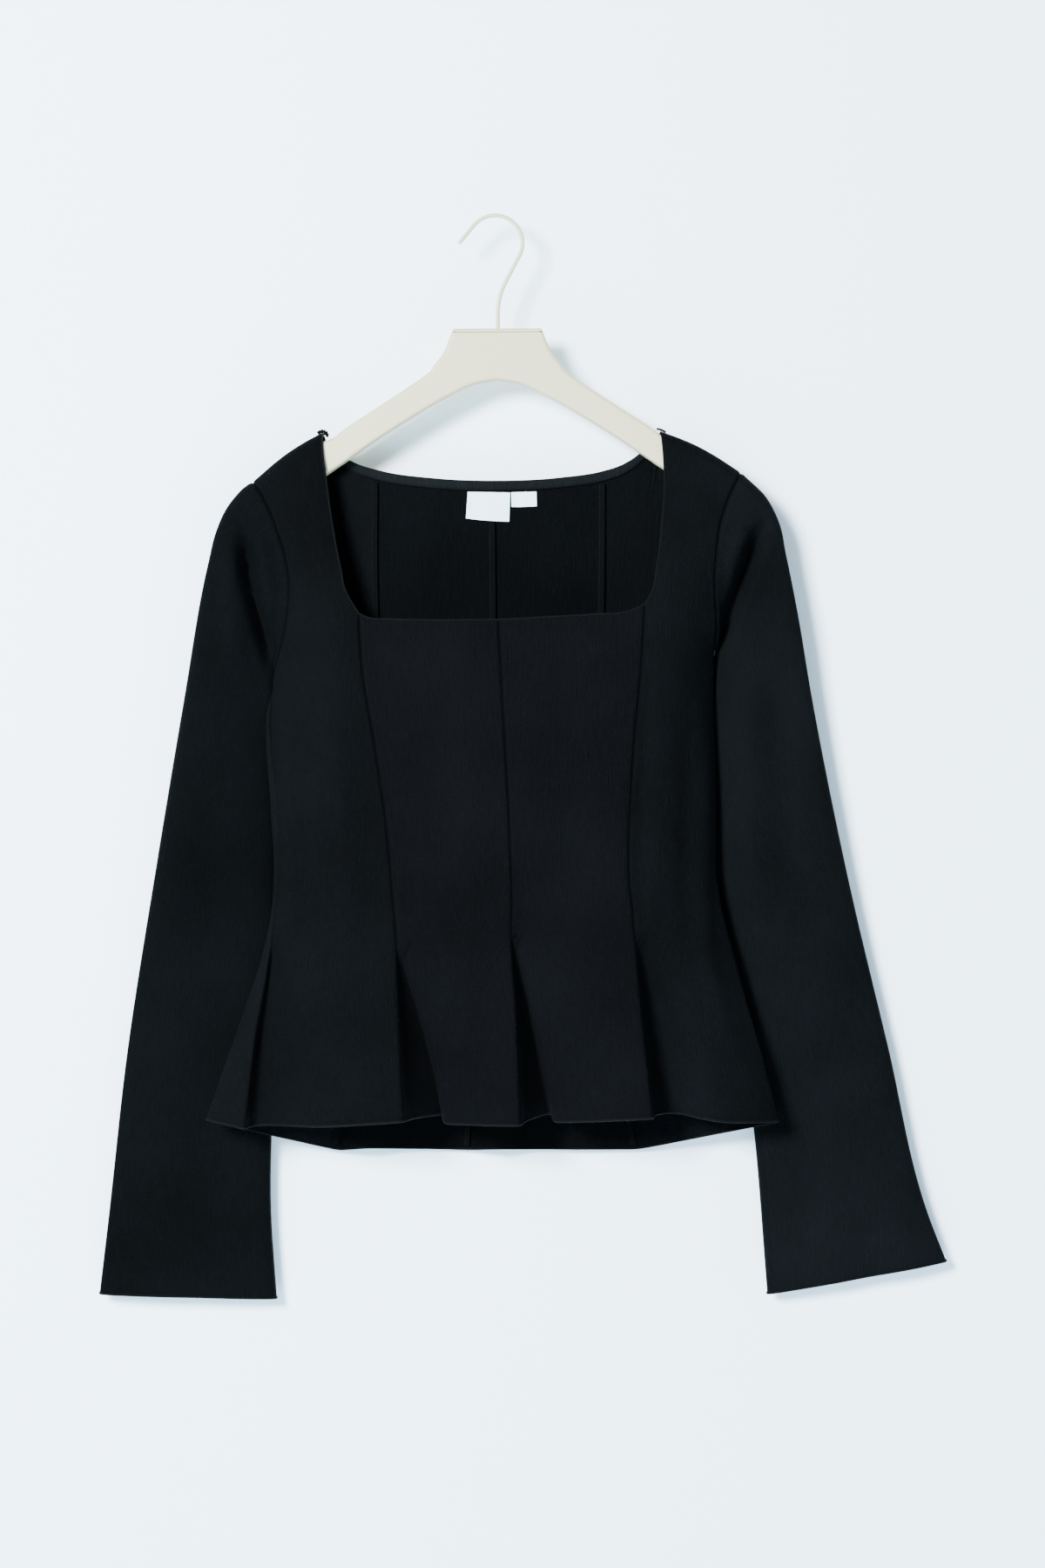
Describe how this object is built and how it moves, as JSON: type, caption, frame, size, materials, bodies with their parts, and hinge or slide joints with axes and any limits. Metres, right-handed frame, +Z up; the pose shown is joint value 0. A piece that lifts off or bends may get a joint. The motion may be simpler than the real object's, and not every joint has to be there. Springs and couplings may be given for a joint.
{
  "type": "peplum top on a hanger",
  "caption": "Long-sleeved jersey peplum top with a wide square neckline and a flared hem, hanging on a moulded hanger with a wire hook.",
  "frame": {"origin": "inside top of the hanger's hook, where it hangs", "axes": "+Z up, the front of the garment faces -Y"},
  "size_m": [0.6779, 0.0812, 0.8628],
  "materials": {
    "cloth": "matte black jersey with a fine vertical crepe texture",
    "neck_tape": "matte black woven tape",
    "label": "blank white woven ribbon",
    "hanger": "warm off-white moulded plastic with soft rounded edges",
    "hook": "cream coated steel wire"
  },
  "bodies": {
    "root": {"front_centre_left": "cloth", "front_centre_right": "cloth", "front_side_left": "cloth", "front_side_right": "cloth", "back_centre_left": "cloth", "back_centre_right": "cloth", "back_side_left": "cloth", "back_side_right": "cloth", "sleeve_left": "cloth", "sleeve_right": "cloth", "back_neck_tape": "neck_tape", "neck_label": "label", "size_label": "label", "hanger_body": "hanger", "hanger_hook": "hook"}
  },
  "joints": []
}
